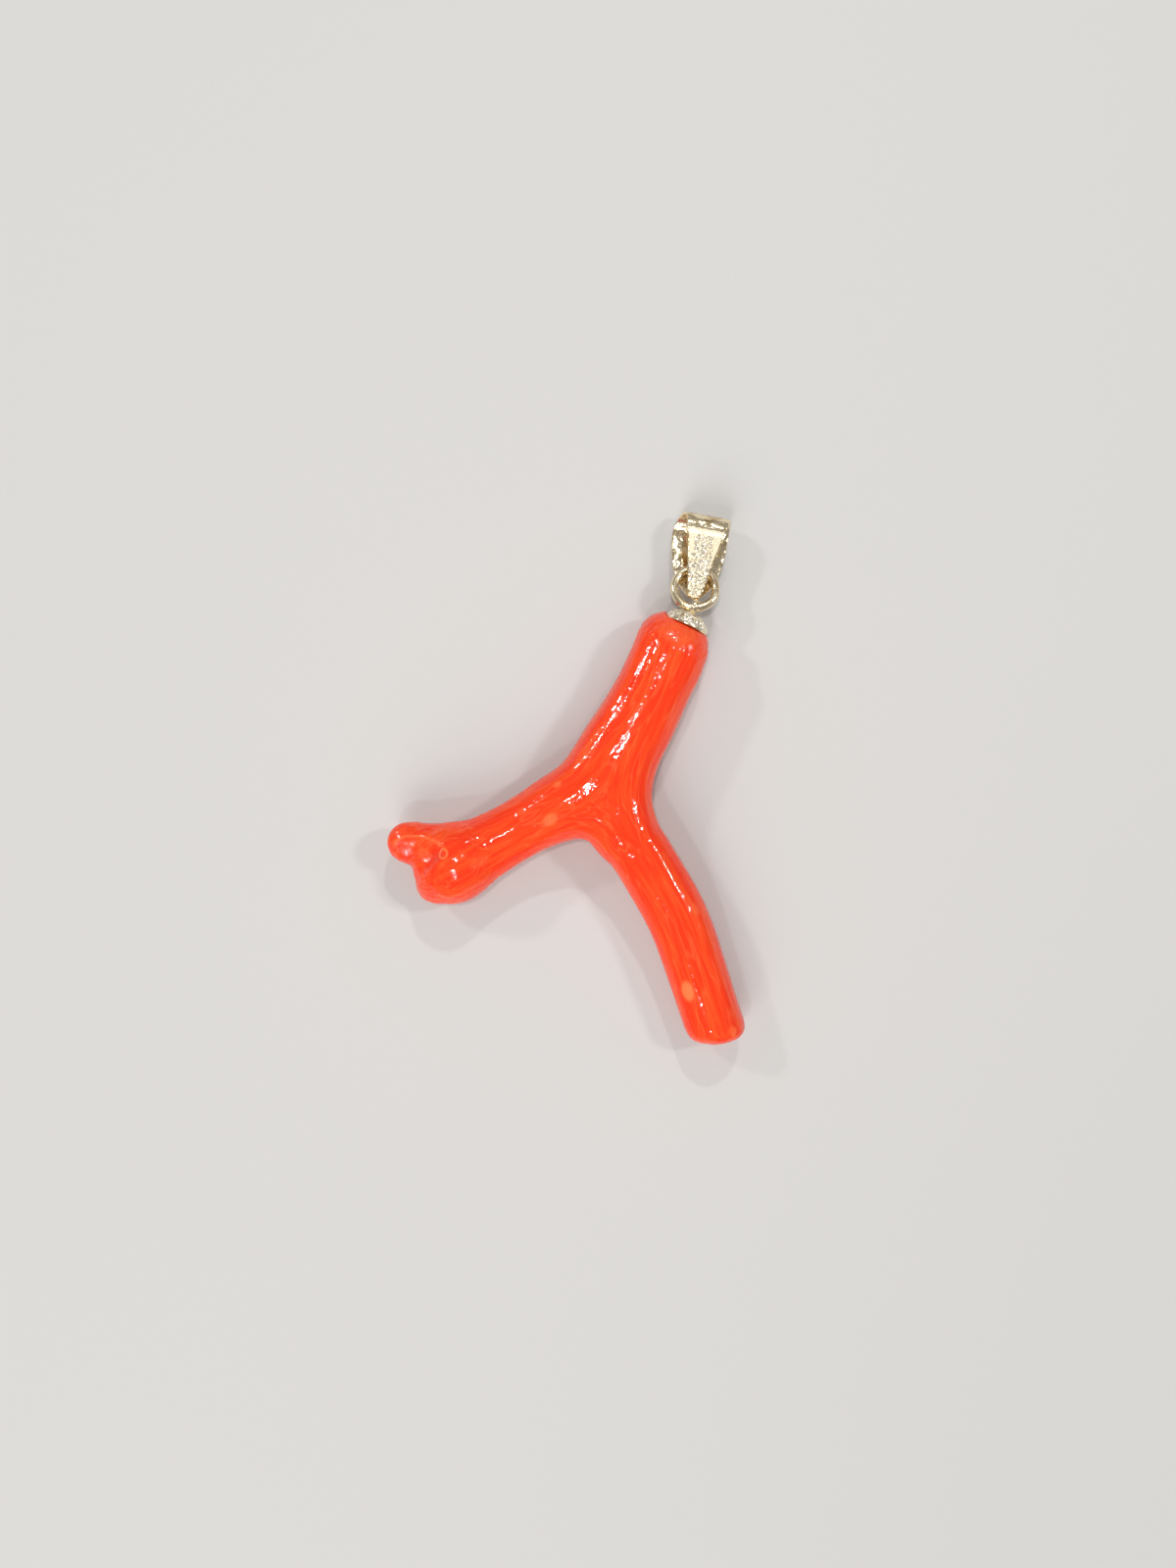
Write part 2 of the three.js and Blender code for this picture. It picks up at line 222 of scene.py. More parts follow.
@dataclass(frozen=True)
class CoralFinish:
    """Polished red-orange coral with a grain along its limbs."""

    red: Colour = (0.94, 0.042, 0.005, 1)
    orange: Colour = (0.98, 0.078, 0.01, 1)
    # dark serves the dark grain and also painted shade.
    dark: Colour = (0.8, 0.018, 0.003, 1)
    # peach serves the pale veins, pale marks and polyp ring, and also painted glow, painted reflection
    # and painted highlights.
    peach: Colour = (1.0, 0.26, 0.08, 1)
    roughness: float = 0.09
    grain_per_mm: float = 1.7
    fine_grain_per_mm: float = 4.6
    orange_from: Point2 = (0.38, 0.66)
    dark_from: Point2 = (0.48, 0.3)
    dark_share: float = 0.35
    veins_per_mm: float = 1.25
    vein_width: float = 0.035
    vein_share: float = 0.2
    bump_height: float = 0.02
    wide_grain_rise: float = 1.5
    fine_grain_rise: float = 0.5
    ripples_per_mm: float = 1.9
    ripple_rise: float = 2.2
    grinding_per_mm: float = 4.0
    grinding_rise: float = 2.6
    grinding_from: Point2 = (2.6, 0.9)
    dimples_per_mm: float = 2.6
    dimple_share: float = 1.8
    polyp_mark: Point3 = (-12.15, -7.5, 6.3)
    polyp_radius: float = 0.5
    polyp_line: Point2 = (0.04, 0.17)
    polyp_share: float = 0.6
    scatter: Point3 = (1.0, 0.3, 0.12)
    scatter_depth: float = 0.9

    def grain(self, tree: Tree, per_mm: float, detail: float) -> bpy.types.NodeSocket:
        """Noise that is drawn out along each limb and mixed where the limbs meet.

        Args:
            tree: the shader's tree.
            per_mm: how many waves to a millimetre across a limb.
            detail: octaves of the noise.

        Returns:
            A value from about 0.2 to 0.8.
        """
        split = tree.add("ShaderNodeSeparateXYZ", Vector=tree.stored(CoralBranch.SHARES, "Vector"))
        total: bpy.types.NodeSocket | float = 0.0
        for i, name in enumerate(CoralBranch.GRAINS):
            waves = tree.noise(tree.stored(name, "Vector"), per_mm, detail)
            total = tree.math("ADD", tree.math("MULTIPLY", waves, split.outputs[i]), total)
        return total

    def polyp_ring(self, tree: Tree) -> bpy.types.NodeSocket:
        """A pale ring mark on the upper face of the left arm, as a share from 0 to 1."""
        away = tree.add("ShaderNodeVectorMath", {"operation": "DISTANCE"})
        tree.put(away, 0, tree.place())
        tree.put(away, 1, [along * MM for along in self.polyp_mark])
        off_ring = tree.math("SUBTRACT", away.outputs["Value"], self.polyp_radius * MM)
        full, none = self.polyp_line
        line = tree.ramp(tree.math("ABSOLUTE", off_ring), full * MM, none * MM)
        return tree.math("SUBTRACT", 1.0, line)

    def grinding(self, tree: Tree) -> bpy.types.NodeSocket:
        """Fine marks round the trunk's ground end, and dimples there and on the nubs, as heights."""
        rim = tree.stored(CoralBranch.NEAR_RIM, "Vector")
        below = tree.add("ShaderNodeSeparateXYZ", Vector=rim).outputs[1]
        marks = tree.noise(rim, self.grinding_per_mm, 3.0)
        marked = tree.math("MULTIPLY", marks, tree.ramp(below, *self.grinding_from))
        dimples = tree.noise(tree.place(), self.dimples_per_mm / MM, 1.0)
        near = tree.math("MULTIPLY", tree.stored(CoralBranch.DIMPLED), self.dimple_share)
        return tree.math("ADD", marked, tree.math("MULTIPLY", dimples, near))

    def colour(
        self, tree: Tree, wide: bpy.types.NodeSocket, fine: bpy.types.NodeSocket
    ) -> bpy.types.NodeSocket:
        """The coral's colour: streaks, thin pale veins, a pale polyp ring and pale marks, with painted
        glow, painted reflection, painted highlight and painted shade.

        Args:
            tree: the shader's tree.
            wide: the wide grain.
            fine: the fine grain.

        Returns:
            The colour.
        """
        veins = self.grain(tree, self.veins_per_mm, 1.0)
        off_vein = tree.math("ABSOLUTE", tree.math("SUBTRACT", veins, 0.5))
        polyp = tree.math("MULTIPLY", self.polyp_ring(tree), self.polyp_share)
        colour = tree.blend(tree.ramp(wide, *self.orange_from), self.red, self.orange)
        for share, shade in (
            (tree.ramp(off_vein, self.vein_width, 0.0, self.vein_share), self.peach),
            (tree.ramp(fine, *self.dark_from, self.dark_share), self.dark),
            # Painted shade under the limbs and in a facet's hollow.
            (tree.stored(CoralBranch.PAINTED_SHADE), self.dark),
            # Pale marks of the coral's own, with painted glow, painted reflection and painted highlights.
            (tree.stored(CoralBranch.PALE_AND_PAINTED_LIGHT), self.peach),
            (polyp, self.peach),
        ):
            colour = tree.blend(share, colour, shade)
        return colour

    def material(self) -> bpy.types.Material:
        """The coral's material."""
        made = bpy.data.materials.new("polished_coral")
        made.use_nodes = True
        tree = Tree(made.node_tree)
        wide = self.grain(tree, self.grain_per_mm, 2.0)
        fine = self.grain(tree, self.fine_grain_per_mm, 3.0)
        ripples = tree.noise(tree.place(), self.ripples_per_mm / MM, 1.0)
        height = tree.math("MULTIPLY", wide, self.wide_grain_rise)
        for wave, rise in (
            (fine, self.fine_grain_rise),
            (ripples, self.ripple_rise),
            (self.grinding(tree), self.grinding_rise),
        ):
            height = tree.math("ADD", height, tree.math("MULTIPLY", wave, rise))
        bump = tree.add("ShaderNodeBump", Height=height, Distance=self.bump_height * MM, Strength=0.8)
        shader = tree.add(
            "ShaderNodeBsdfPrincipled",
            Base_Color=self.colour(tree, wide, fine),
            Roughness=tree.ramp(fine, 0.2, 0.8, self.roughness * 2),
            IOR=1.5,
            Normal=bump.outputs[0],
            Specular_IOR_Level=0.38,
            Subsurface_Weight=0.25,
            Subsurface_Radius=self.scatter,
            Subsurface_Scale=self.scatter_depth * MM,
            Coat_Weight=0.3,
            Coat_Roughness=0.02,
            Coat_Normal=bump.outputs[0],
        )
        tree.add("ShaderNodeOutputMaterial", Surface=shader.outputs[0])
        return made


@dataclass(frozen=True)
class GoldFinish:
    """Gold, from mirror bright to satin."""

    name: str = "bright_gold"
    colour: Colour = (0.98, 0.84, 0.58, 1)
    # The second tone: wear on most of the gold, and painted dark, mottled reflection on the sheet gold.
    worn_and_dark_reflection: Colour = (0.9, 0.7, 0.42, 1)
    roughness: float = 0.18
    waves_per_mm: float = 0.55
    wave_height: float = 0.0
    marks_per_mm: float = 11
    mark_height: float = 0.004
    worn_and_dark_reflection_share: float = 0.5

    def material(self) -> bpy.types.Material:
        """The gold's material, with faint handling marks in its roughness and surface, and a cloudy
        second tone in its colour.
        """
        made = bpy.data.materials.new(self.name)
        made.use_nodes = True
        tree = Tree(made.node_tree)
        clouds = tree.noise(tree.place(), self.waves_per_mm / MM, 3.0)
        marks = tree.noise(tree.place(), self.marks_per_mm / MM, 2.0)
        colour = tree.blend(tree.ramp(clouds, 0.42, 0.66, self.worn_and_dark_reflection_share), self.colour, self.worn_and_dark_reflection)
        swell = tree.math("MULTIPLY", clouds, self.wave_height * MM)
        height = tree.math("ADD", swell, tree.math("MULTIPLY", marks, self.mark_height * MM))
        bump = tree.add("ShaderNodeBump", Height=height, Distance=1.0, Strength=0.7)
        shader = tree.add(
            "ShaderNodeBsdfPrincipled",
            Base_Color=colour,
            Metallic=1.0,
            Roughness=tree.ramp(marks, 0.1, 0.9, self.roughness * 2),
            Normal=bump.outputs[0],
        )
        tree.add("ShaderNodeOutputMaterial", Surface=shader.outputs[0])
        return made


@dataclass
class Limb:
    """A limb of the branch: stations of [x, y, half width, room under it] down its middle."""

    stations: tuple[Station, ...]
    steps: int = 4
    start: np.ndarray = field(init=False)
    along: np.ndarray = field(init=False)
    half: np.ndarray = field(init=False)
    growth: np.ndarray = field(init=False)

    def __post_init__(self) -> None:
        """Cuts the limb into short straight pieces."""
        table = np.array(self.stations)
        middle = catmull_rom(np.c_[table[:, :2], table[:, 2] + table[:, 3]], self.steps)
        width = catmull_rom(table[:, 2:3], self.steps, centripetal=False)[:, 0]
        self.start = middle[:-1]
        self.along = np.diff(middle, axis=0)
        self.half = width[:-1]
        self.growth = np.diff(width)

    def distance(self, points: np.ndarray) -> np.ndarray:
        """How far points are from the limb's skin, below zero inside."""
        nearest = np.full(len(points), np.inf)
        for start, along, half, growth in zip(self.start, self.along, self.half, self.growth):
            t = np.clip((points - start) @ along / (along @ along), 0, 1)
            away = np.linalg.norm(points - start - t[:, None] * along, axis=1)
            nearest = np.minimum(nearest, away - half - t * growth)
        return nearest

    def grain_place(self, points: np.ndarray, drawn_out: float) -> np.ndarray:
        """Where points are within the limb: across it, up it, and along it.

        Args:
            points: places, one a row.
            drawn_out: how much shorter the way along counts, which draws the grain out.

        Returns:
            Across, up and drawn-in along, one row a point.
        """
        lengths = np.linalg.norm(self.along, axis=1)
        before = np.concatenate([[0.0], np.cumsum(lengths)[:-1]])
        nearest = np.full(len(points), np.inf)
        place = np.zeros((len(points), 3))
        for start, along, length, passed in zip(self.start, self.along, lengths, before):
            t = np.clip((points - start) @ along / (along @ along), 0, 1)
            offset = points - start - t[:, None] * along
            away = np.linalg.norm(offset, axis=1)
            side = np.array([along[1], -along[0], 0]) / math.hypot(along[0], along[1])
            closer = away < nearest
            found = np.c_[offset @ side, offset[:, 2], (passed + t * length) * drawn_out]
            place[closer] = found[closer]
            nearest = np.minimum(nearest, away)
        return place


@dataclass(frozen=True)
class GroundEnd:
    """An end that is ground across: a point on it, its lean from +Y, its rise and its rounding."""

    point: Point3
    lean: float
    rise: float
    rounding: float

    def past(self, points: np.ndarray) -> np.ndarray:
        """How far points are past the end."""
        out = leaning(self.lean) * math.cos(radians(self.rise))
        out[2] = math.sin(radians(self.rise))
        return (points - np.array(self.point)) @ out


@dataclass(frozen=True)
class CapSeat:
    """The room cut out of the trunk's end for the bell cap, open below."""

    rim: Point3 = CAP_RIM
    lean: float = CAP_LEAN
    radius: float = 2.3
    gap: float = 0.02
    edge_rounding: float = 0.12

    def local(self, places: np.ndarray) -> np.ndarray:
        """Places as across the cap's axis, along it from the rim, and above it."""
        ahead = leaning(self.lean)
        side = np.array([ahead[1], -ahead[0], 0])
        offset = places - np.array(self.rim)
        return np.stack([offset @ side, offset @ ahead, offset[:, 2]], 1)

    def distance(self, places: np.ndarray) -> np.ndarray:
        """How far places are from the room, below zero inside it."""
        across, along, above = self.local(places).T
        radial = np.hypot(across, np.maximum(above, 0)) - self.radius
        return np.maximum(radial, -(along + self.gap))


@dataclass(frozen=True)
class Oval:
    """An oval on the upper face: its middle, half length and half width, and its lean from +Y."""

    middle: Point2
    half_length: float
    half_width: float
    lean: float

    def reach(self, points: np.ndarray) -> np.ndarray:
        """How far out points are, from 0 at the oval's middle to 1 at its rim."""
        ahead = leaning(self.lean)[:2]
        side = np.array([ahead[1], -ahead[0]])
        offset = points[:, :2] - np.array(self.middle)
        return np.hypot(offset @ ahead / self.half_length, offset @ side / self.half_width)

    def on_top(self, points: np.ndarray) -> np.ndarray:
        """How far points are on the upper face, from 0 to 1."""
        return smoothstep(points[:, 2], 3.0, 4.0)


@dataclass(frozen=True)
class Scoop(Oval):
    """A shallow facet ground into the upper face, which can carry a painted highlight along its far rim
    and painted shade in its middle.
    """

    depth: float
    painted_highlight_rim: float = 0.0
    painted_shade_middle: float = 0.0

    def bowl(self, points: np.ndarray) -> np.ndarray:
        """The facet's hollow, from 1 at its middle to 0 at its rim."""
        return np.maximum(1 - self.reach(points) ** 2, 0)

    def sunk(self, points: np.ndarray) -> np.ndarray:
        """How deep the facet is at points."""
        return self.depth * self.bowl(points) * smoothstep(points[:, 2], 2.5, 3.5)

    def pale(self, points: np.ndarray) -> np.ndarray:
        """How much painted highlight the facet's far rim, along its ridge, puts on points."""
        rim = np.exp(-(((self.reach(points) - 1) / 0.08) ** 2))
        far = smoothstep(points[:, 1] - self.middle[1], -0.2 * self.half_width, 0.5 * self.half_width)
        return self.painted_highlight_rim * rim * far * self.on_top(points)

    def deep(self, points: np.ndarray) -> np.ndarray:
        """How much painted shade the facet's middle puts on points."""
        return self.painted_shade_middle * self.bowl(points) * self.on_top(points)


@dataclass(frozen=True)
class PaleMarkAndPaintedLight(Oval):
    """A pale oval on the coral's upper face: some are pale marks of the coral's own, and some are painted
    glow, painted reflection and painted highlight.
    """

    strength: float

    def share(self, points: np.ndarray) -> np.ndarray:
        """How pale points are, from 0 to the spot's strength."""
        return self.strength * self.on_top(points) * (1 - smoothstep(self.reach(points), 0.6, 1.15))


def soft_min(a: np.ndarray, b: np.ndarray, softness: np.ndarray | float) -> np.ndarray:
    """The lesser of two distances, rounded off where they are alike."""
    overlap = np.maximum(softness - np.abs(a - b), 0) / softness
    return np.minimum(a, b) - overlap * overlap * softness / 4


TRUNK: tuple[Station, ...] = (
    (11.3, 19.2, 3.6, 0.1),
    (10.65, 13.4, 3.78, -0.05),
    (9.05, 9.7, 3.72, 0.1),
)


@dataclass
class CoralBranch:
    """The branch: a trunk that forks into a left arm with two nubs and a plain right arm."""

    GRAINS = ("grain_left", "grain_right", "grain_web")
    SHARES = "grain_shares"
    PALE_AND_PAINTED_LIGHT = "pale"
    PAINTED_SHADE = "deep"
    NEAR_RIM = "near_rim"
    DIMPLED = "dimpled"

    flattening: float = 0.88
    trunk_to_left_arm: Limb = field(default_factory=lambda: Limb((
        *TRUNK,
        (7.1, 6.3, 3.7, 0.3),
        (5.1, 3.6, 3.55, 0.4),
        (2.0, -0.7, 3.4, 0.5),
        (-1.9, -3.35, 3.2, 0.6),
        (-5.8, -5.65, 3.1, 0.6),
        (-9.0, -7.4, 3.4, 0.3),
        (-11.2, -8.6, 3.85, -0.05),
    )))
    trunk_to_right_arm: Limb = field(default_factory=lambda: Limb((
        *TRUNK,
        (7.6, 6.3, 3.7, 0.3),
        (5.9, 2.2, 3.5, 0.4),
        (5.3, -1.5, 3.35, 0.5),
        (6.0, -5.1, 3.2, 0.6),
        (8.0, -8.4, 3.15, 0.55),
        (11.25, -14.1, 3.15, 0.3),
        (13.45, -20.2, 3.05, 0.15),
        (14.95, -24.8, 3.0, -0.05),
        (16.7, -30.4, 3.2, 0.0),
    )))
    web: Limb = field(default_factory=lambda: Limb((
        (-3.9, -4.5, 3.1, 0.7),
        (-1.3, -3.2, 3.2, 0.6),
        (1.2, -2.8, 3.2, 0.6),
        (3.9, -3.6, 3.1, 0.7),
        (6.0, -5.8, 3.1, 0.6),
    )))
    upper_nub: Limb = field(default_factory=lambda: Limb((
        (-10.2, -7.6, 3.3, 0.6),
        (-13.4, -7.1, 2.6, 1.0),
        (-16.2, -6.5, 2.1, 1.3),
    )))
    lower_nub: Limb = field(default_factory=lambda: Limb((
        (-10.0, -8.5, 3.3, 0.4),
        (-11.3, -10.0, 2.75, 0.7),
        (-13.1, -10.45, 2.35, 1.0),
    )))
    saddle: Limb = field(default_factory=lambda: Limb((
        (-9.6, -8.0, 2.9, 0.5),
        (-11.4, -8.3, 2.5, 0.8),
        (-13.1, -8.6, 2.15, 1.0),
    )))
    soft_joins: tuple[Station, ...] = ((3.5, -1.7, 9.0, 1.7), (-12.5, -8.4, 6.0, 1.3))
    trunk_end: GroundEnd = GroundEnd((9.65, 17.2, 3.7), 10, 15, 3.8)
    right_end: GroundEnd = GroundEnd((15.4, -26.95, 3.1), 172, 0, 2.2)
    seat: CapSeat = CapSeat()
    scoops: tuple[Scoop, ...] = (
        # The first facet's pale rim is a painted highlight along its ridge; the second facet's dark
        # middle is painted shade in its hollow.
        Scoop((-14.6, -7.1), 2.75, 1.25, 101, 0.6, painted_highlight_rim=0.5),
        Scoop((-13.55, -8.2), 1.9, 0.75, 40, 0.28, painted_shade_middle=0.4),
        Scoop((-12.5, -9.9), 1.2, 0.8, 60, 0.08),
    )
    cell: float = 0.2
    coarse: int = 4
    low_corner: Point3 = (-19.6, -28.4, -1.0)
    high_corner: Point3 = (19.6, 18.8, 8.0)
    flute_height: float = 0.035
    flutes_per_mm: float = 0.62
    ripples_finer: float = 2.6
    ripples_lower: float = 0.6
    smooth_at_cap: Point2 = (0.1, 2.5)
    smooth_at_table: Point2 = (0.3, 1.5)
    pebble_height: float = 0.04
    pebbles_per_mm: float = 1.15
    pebbled_below_rim: tuple[Point2, Point2] = ((-4.0, -2.6), (-1.6, -0.8))
    pebbled_nubs: Point2 = (10.5, 13.0)
    pebbled_top: Point2 = (2.0, 4.0)
    grain_drawn_out: float = 0.085
    rim_marks_drawn_out: Point3 = (0.22, -1, 0.22)
    # Painted shade: how much darker the coral gets towards its underside, and the heights over which that
    # fades out.
    underside_painted_shade: float = 0.5
    underside_top: Point2 = (0.5, 3.4)
    grains_overlap: float = 0.3
    pale_marks_and_painted_light: tuple[PaleMarkAndPaintedLight, ...] = (
        PaleMarkAndPaintedLight((12.15, -21.35), 1.15, 0.62, 165, 0.75),
        PaleMarkAndPaintedLight((-1.6, -4.1), 0.9, 0.6, 60, 0.5),
        PaleMarkAndPaintedLight((-0.9, -0.6), 0.5, 0.3, 60, 0.45),
        PaleMarkAndPaintedLight((12.85, -13.05), 0.8, 0.4, 150, 0.3),
        PaleMarkAndPaintedLight((16.75, -25.5), 0.7, 0.4, 165, 0.35),
        # Painted glow: a lighter, yellowish patch on the trunk's ground end beside the gold cap.
        PaleMarkAndPaintedLight((11.0, 14.4), 2.3, 1.3, 115, 0.22),
        # Painted reflection: the upper nub's facet, painted lighter where it faces the light.
        PaleMarkAndPaintedLight((-14.2, -7.6), 0.9, 0.6, 110, 0.22),
        # Painted highlight: an elongated bright patch low on the left arm's thick end.
        PaleMarkAndPaintedLight((-8.6, -8.3), 1.2, 0.5, 60, 0.2),
    )

    def limbs(self) -> list[Limb]:
        """Every limb, in the order in which they are joined."""
        return [
            self.trunk_to_left_arm,
            self.trunk_to_right_arm,
            self.web,
            self.upper_nub,
            self.lower_nub,
            self.saddle,
        ]

    def distance(self, places: np.ndarray) -> np.ndarray:
        """How far places are from the branch's skin, below zero inside."""
        points = places / np.array([1, 1, self.flattening])
        softness = np.full(len(points), 0.01)
        for x, y, reach, most in self.soft_joins:
            near = 1 - np.hypot(points[:, 0] - x, points[:, 1] - y) / reach
            softness = np.maximum(softness, most * smoothstep(near, 0, 0.6))
        first, *others = self.limbs()
        result = first.distance(points)
        for limb in others:
            result = soft_min(result, limb.distance(points), softness)
        for end in (self.trunk_end, self.right_end):
            result = -soft_min(-result, -end.past(points), end.rounding)
        result = -soft_min(-result, self.seat.distance(places), self.seat.edge_rounding)
        return np.maximum(result, -places[:, 2])

    def sampled(self) -> tuple[np.ndarray, np.ndarray]:
        """Samples the distance on a fine grid, but only near the skin.

        Returns:
            The values on the grid, and the grid's first corner.
        """
        low, high = np.array(self.low_corner), np.array(self.high_corner)
        wide = self.cell * self.coarse
        count = np.ceil((high - low) / wide).astype(int)
        middles = low + (np.stack(np.indices(count), -1).reshape(-1, 3) + 0.5) * wide
        rough = self.distance(middles).reshape(count)
        values = rough
        for axis in range(3):
            values = np.repeat(values, self.coarse, axis)
        near = np.abs(values) < wide * 1.3
        spots = low + (np.argwhere(near) + 0.5) * self.cell
        values[near] = self.distance(spots)
        return values, low + self.cell / 2

    def skin(self) -> tuple[np.ndarray, np.ndarray]:
        """The surface of the branch as quads, by one vertex in each grid cell that it crosses.

        Returns:
            The vertices, and the faces with their outside outwards.
        """
        values, corner = self.sampled()
        shape = np.array(values.shape) - 1
        total = np.zeros((*shape, 3))
        count = np.zeros(shape)
        for axis in range(3):
            others = [a for a in range(3) if a != axis]
            ahead = np.roll(values, -1, axis)
            crossed = (values < 0) != (ahead < 0)
            share = np.where(crossed, values / np.where(crossed, values - ahead, 1), 0)
            for a in (0, 1):
                for b in (0, 1):
                    pick: list[slice] = [slice(0, n) for n in shape]
                    pick[others[0]] = slice(a, shape[others[0]] + a)
                    pick[others[1]] = slice(b, shape[others[1]] + b)
                    hit = crossed[tuple(pick)]
                    count += hit
                    total[..., axis] += share[tuple(pick)]
                    total[..., others[0]] += a * hit
                    total[..., others[1]] += b * hit
        active = count > 0
        number = np.full(shape, -1)
        number[active] = np.arange(active.sum())
        vertices = corner + self.cell * (np.argwhere(active) + total[active] / count[active][:, None])
        faces = []
        for axis in range(3):
            u, v = (axis + 1) % 3, (axis + 2) % 3
            ahead = np.roll(values, -1, axis)
            crossed = (values < 0) != (ahead < 0)
            edges = np.argwhere(crossed)
            edges = edges[np.all((edges > 0) & (edges < shape), axis=1)]
            leaving = values[tuple(edges.T)] < 0
            step_u, step_v = np.eye(3, dtype=int)[u], np.eye(3, dtype=int)[v]
            corners = (step_u + step_v, step_v, 0 * step_u, step_u)
            quads = np.stack([number[tuple((edges - back).T)] for back in corners], 1)
            quads[~leaving] = quads[~leaving][:, ::-1]
            faces.append(quads)
        return vertices, np.vstack(faces)

    def slope(self, places: np.ndarray) -> np.ndarray:
        """The outward direction of the distance at places, one unit row each."""
        steps = 0.02 * np.eye(3)
        rows = [self.distance(places + step) - self.distance(places - step) for step in steps]
        ways = np.stack(rows, 1)
        return ways / np.maximum(np.linalg.norm(ways, axis=1, keepdims=True), 1e-9)

    def shares(self, places: np.ndarray) -> np.ndarray:
        """How much each of the three grains counts at places, as rows that add up to 1."""
        points = places / np.array([1, 1, self.flattening])
        away = np.stack([limb.distance(points) for limb in self.limbs()[:3]], 1)
        weight = np.exp(-(away - away.min(1, keepdims=True)) / self.grains_overlap)
        return weight / weight.sum(1, keepdims=True)

    def fluting(self, grains: list[np.ndarray], shares: np.ndarray) -> np.ndarray:
        """Shallow flutes along the limbs, as heights for each vertex."""
        height = np.zeros(len(shares))
        for i, grain in enumerate(grains):
            flutes = grain * self.flutes_per_mm
            wave, ripple = (
                np.array([noise.noise(Vector(row)) for row in rows])
                for rows in (flutes, flutes * self.ripples_finer)
            )
            height += shares[:, i] * (wave + self.ripples_lower * ripple)
        return height * self.flute_height * 2

    def near_ends(self, places: np.ndarray) -> np.ndarray:
        """How far places are among the nubs or round the trunk's end, from 0 to 1."""
        along = self.seat.local(places)[:, 1]
        first, last = self.pebbled_below_rim
        near_rim = smoothstep(along, *first) * (1 - smoothstep(along, *last))
        near_nubs = smoothstep(-places[:, 0], *self.pebbled_nubs)
        return np.maximum(near_nubs, near_rim) * smoothstep(places[:, 2], *self.pebbled_top)

    def pebbles(self, places: np.ndarray) -> np.ndarray:
        """Small bumps on the nubs and round the trunk's end, as heights for each vertex."""
        near = self.near_ends(places)
        wave = np.zeros(len(places))
        for i in np.flatnonzero(near > 0):
            wave[i] = noise.noise(Vector(places[i]) * self.pebbles_per_mm)
        return near * wave * self.pebble_height * 2

    def build(self, finish: CoralFinish) -> bpy.types.Object:
        """Builds the branch as one unbroken piece.

        Args:
            finish: the coral's finish.

        Returns:
            The branch, which stands for the three coral nodes.
        """
        vertices, faces = self.skin()
        ways = self.slope(vertices)
        for _ in range(2):
            vertices = vertices - ways * self.distance(vertices)[:, None]
        shares = self.shares(vertices)
        flat = vertices / np.array([1, 1, self.flattening])
        grains = [limb.grain_place(flat, self.grain_drawn_out) for limb in self.limbs()[:3]]
        fluted = smoothstep(-self.seat.local(vertices)[:, 1], *self.smooth_at_cap)
        fluted *= smoothstep(vertices[:, 2], *self.smooth_at_table)
        lifted = fluted * self.fluting(grains, shares)
        lifted += self.pebbles(vertices)
        vertices = vertices + ways * lifted[:, None]
        vertices[:, 2] -= sum(scoop.sunk(vertices) for scoop in self.scoops)
        vertices[:, 2] = np.maximum(vertices[:, 2], 0)
        piece = solid_piece("coral_branch", vertices, faces, finish.material())
        for name, grain in zip(self.GRAINS, grains):
            self.store(piece, name, grain)
        self.store(piece, self.SHARES, shares)
        # The pale attribute gathers pale marks of the coral's own with painted glow, painted reflection
        # and painted highlights; the dark attribute gathers painted shade.
        pale = [spot.share(vertices) for spot in self.pale_marks_and_painted_light]
        pale += [scoop.pale(vertices) for scoop in self.scoops]
        # Painted shade, darker towards the underside.
        deep = [self.underside_painted_shade * (1 - smoothstep(vertices[:, 2], *self.underside_top))]
        deep += [scoop.deep(vertices) for scoop in self.scoops]
        self.store(piece, self.PALE_AND_PAINTED_LIGHT, np.max(pale, axis=0))
        self.store(piece, self.PAINTED_SHADE, np.max(deep, axis=0))
        self.store(piece, self.NEAR_RIM, self.seat.local(vertices) * np.array(self.rim_marks_drawn_out))
        self.store(piece, self.DIMPLED, self.near_ends(vertices))
        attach(piece, Body.BRANCH.value)
        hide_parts("coral_trunk", "coral_left_arm", "coral_right_arm")
        return piece

    def store(self, piece: bpy.types.Object, name: str, values: np.ndarray) -> None:
        """Keeps a number or a vector for each vertex of a piece under a name."""
        kind, key = ("FLOAT", "value") if values.ndim == 1 else ("FLOAT_VECTOR", "vector")
        attribute = piece.data.attributes.new(name, kind, "POINT")
        attribute.data.foreach_set(key, values.astype(np.float32).ravel())


def quads(loops: int, sides: int, closed: bool, tube: bool = False) -> list[tuple[int, ...]]:
    """The faces between neighbouring loops of points.

    Args:
        loops: how many loops there are.
        sides: how many points each has.
        closed: whether the last loop joins the first.
        tube: whether each loop's last point joins its first.

    Returns:
        The corners of each face, as numbers in one list of all the points.
    """
    faces: list[tuple[int, ...]] = []
    for i in range(loops if closed else loops - 1):
        here, there = i * sides, (i + 1) % loops * sides
        for j in range(sides if tube else sides - 1):
            k = (j + 1) % sides
            faces.append((here + j, here + k, there + k, there + j))
    return faces


def moved(vertices: np.ndarray, place: Matrix) -> np.ndarray:
    """Vertices moved to a place."""
    table = np.array(place)
    return vertices @ table[:3, :3].T + table[:3, 3]


def outwards(piece: bpy.types.Object) -> None:
    """Turns every face of a closed piece outwards, after its doubles are merged."""
    mesh = bmesh.new()
    mesh.from_mesh(piece.data)
    bmesh.ops.remove_doubles(mesh, verts=mesh.verts, dist=1e-7)
    bmesh.ops.recalc_face_normals(mesh, faces=mesh.faces)
    mesh.to_mesh(piece.data)
    mesh.free()


